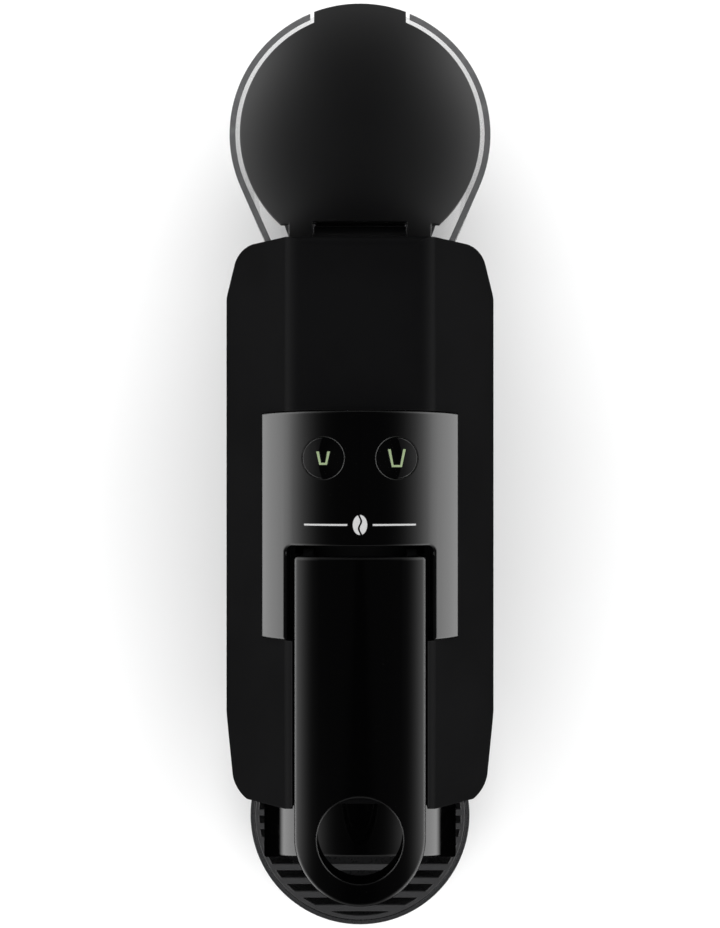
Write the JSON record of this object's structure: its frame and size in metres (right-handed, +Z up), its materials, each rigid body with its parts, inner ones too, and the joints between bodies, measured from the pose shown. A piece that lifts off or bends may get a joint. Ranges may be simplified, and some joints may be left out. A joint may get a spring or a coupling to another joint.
{
  "type": "pod coffee machine",
  "caption": "Slim capsule coffee machine: faceted hood, lever over the capsule slot, round smoked water tank behind, round drip tray in front",
  "frame": {"origin": "on the standing surface, below the middle of the overall length and width", "axes": "+Z up, +Y towards the water tank at the rear, -Y towards the drip tray at the front, +X to the right seen from the front tray looking to the tank"},
  "size_m": [0.084, 0.325, 0.204],
  "materials": {
    "axle_steel": "ground",
    "base_plastic": "fine matt texture",
    "blade_steel": "stamped",
    "board_resin": "solder mask",
    "coil_steel": "laminated",
    "component_mix": "moulded packages",
    "container_plastic": "satin",
    "cover_plastic": "fine matt texture",
    "foot_rubber": "plain",
    "grid_plastic": "satin",
    "heater_cast": "die cast",
    "hood_plastic": "fine matt texture",
    "hose_silicone": "translucent silicone",
    "icon_light": "light guide, lit from behind",
    "inner_black": "plain moulding",
    "inner_grey": "glass-filled moulding",
    "inner_white": "natural moulding",
    "key_gloss": "gloss",
    "lever_gloss": "piano gloss",
    "lid_plastic": "satin",
    "nose_gloss": "piano gloss",
    "panel_gloss": "piano gloss",
    "pump_brass": "turned",
    "screw_steel": "zinc plated",
    "seal_rubber": "silicone",
    "spout_plastic": "smooth",
    "tank_clear": "smoke-tinted clear plastic, polished",
    "terminal_metal": "tinned",
    "tray_plastic": "satin",
    "valve_plastic": "smooth"
  },
  "bodies": {
    "machine": {"main_shell": "hood_plastic", "rear_cover": "cover_plastic", "base_plate": "base_plastic", "rubber_feet": "foot_rubber", "tank_foot": "foot_rubber", "base_screws": "screw_steel", "cover_screws": "screw_steel", "control_panel": "panel_gloss", "panel_carrier": "inner_black", "button_board": "board_resin", "button_switches": "component_mix", "capsule_guide": "inner_black", "brew_frame": "inner_grey", "capsule_cage": "inner_grey", "piercing_needles": "blade_steel", "injector_head": "inner_black", "coffee_spout": "spout_plastic", "nose_cover": "nose_gloss", "dock_socket": "inner_black", "flow_meter": "inner_white", "pump_body": "pump_brass", "pump_coil": "coil_steel", "pump_mounts": "foot_rubber", "thermoblock": "heater_cast", "heater_terminals": "terminal_metal", "thermostats": "terminal_metal", "inlet_hose": "hose_silicone", "feed_hose": "hose_silicone", "pressure_hose": "hose_silicone", "brew_hose": "hose_silicone", "main_board": "board_resin", "board_components": "component_mix", "cord_inlet": "foot_rubber", "dock_seal": "seal_rubber"},
    "lever": {"lever_shell": "lever_gloss", "lever_liner": "inner_black", "lever_arm_right": "inner_grey", "lever_arm_left": "inner_grey", "lever_axle": "axle_steel", "lever_screws": "screw_steel"},
    "carriage": {"brew_carriage": "inner_white", "extraction_plate": "blade_steel"},
    "espresso_key": {"espresso_button": "key_gloss", "espresso_icon": "icon_light"},
    "lungo_key": {"lungo_button": "key_gloss", "lungo_icon": "icon_light"},
    "tray": {"drip_tray": "tray_plastic", "capsule_container": "container_plastic"},
    "grid": {"drip_grid": "grid_plastic"},
    "tank": {"water_tank": "tank_clear", "hinge_block": "lid_plastic", "lid_hinge_pin": "axle_steel", "valve_body": "valve_plastic"},
    "lid": {"tank_lid": "lid_plastic"},
    "valve": {"valve_plunger": "valve_plastic"},
    "rotor": {"flow_rotor": "inner_black"}
  },
  "joints": [
    {"name": "lever_hinge", "type": "hinge", "parent": "machine", "child": "lever", "pos_m": [0, -0.0299, 0.192], "axis": [-1, 0, 0], "range_deg": [0, 90]},
    {"name": "carriage_slide", "type": "slide", "parent": "machine", "child": "carriage", "axis": [0, -1, 0], "range_m": [0, 0.02829]},
    {"name": "espresso_press", "type": "slide", "parent": "machine", "child": "espresso_key", "axis": [0, 0, -1], "range_m": [0, 0.0008], "stiffness_N_per_m": 400, "springref_m": -0.0008},
    {"name": "lungo_press", "type": "slide", "parent": "machine", "child": "lungo_key", "axis": [0, 0, -1], "range_m": [0, 0.0008], "stiffness_N_per_m": 400, "springref_m": -0.0008},
    {"name": "tank_lift", "type": "slide", "parent": "machine", "child": "tank", "axis": [0, 0, 1], "range_m": [0, 0.16]},
    {"name": "lid_hinge", "type": "hinge", "parent": "tank", "child": "lid", "pos_m": [0, 0.0875, 0.147], "axis": [1, 0, 0], "range_deg": [0, 64]},
    {"name": "valve_travel", "type": "slide", "parent": "tank", "child": "valve", "axis": [0, 0, 1], "range_m": [0, 0.003], "stiffness_N_per_m": 150, "springref_m": -0.001},
    {"name": "tray_slide", "type": "slide", "parent": "machine", "child": "tray", "axis": [0, -1, 0], "range_m": [0, 0.12]},
    {"name": "grid_lift", "type": "slide", "parent": "tray", "child": "grid", "axis": [0, 0, 1], "range_m": [0, 0.06]},
    {"name": "rotor_spin", "type": "hinge", "parent": "machine", "child": "rotor", "pos_m": [0.026, 0.041, 0.0205], "axis": [0, 0, 1], "continuous": true}
  ],
  "couplings": [
    {"joint": "carriage_slide", "follows": "lever_hinge", "m_per_rad": 0.018006}
  ]
}
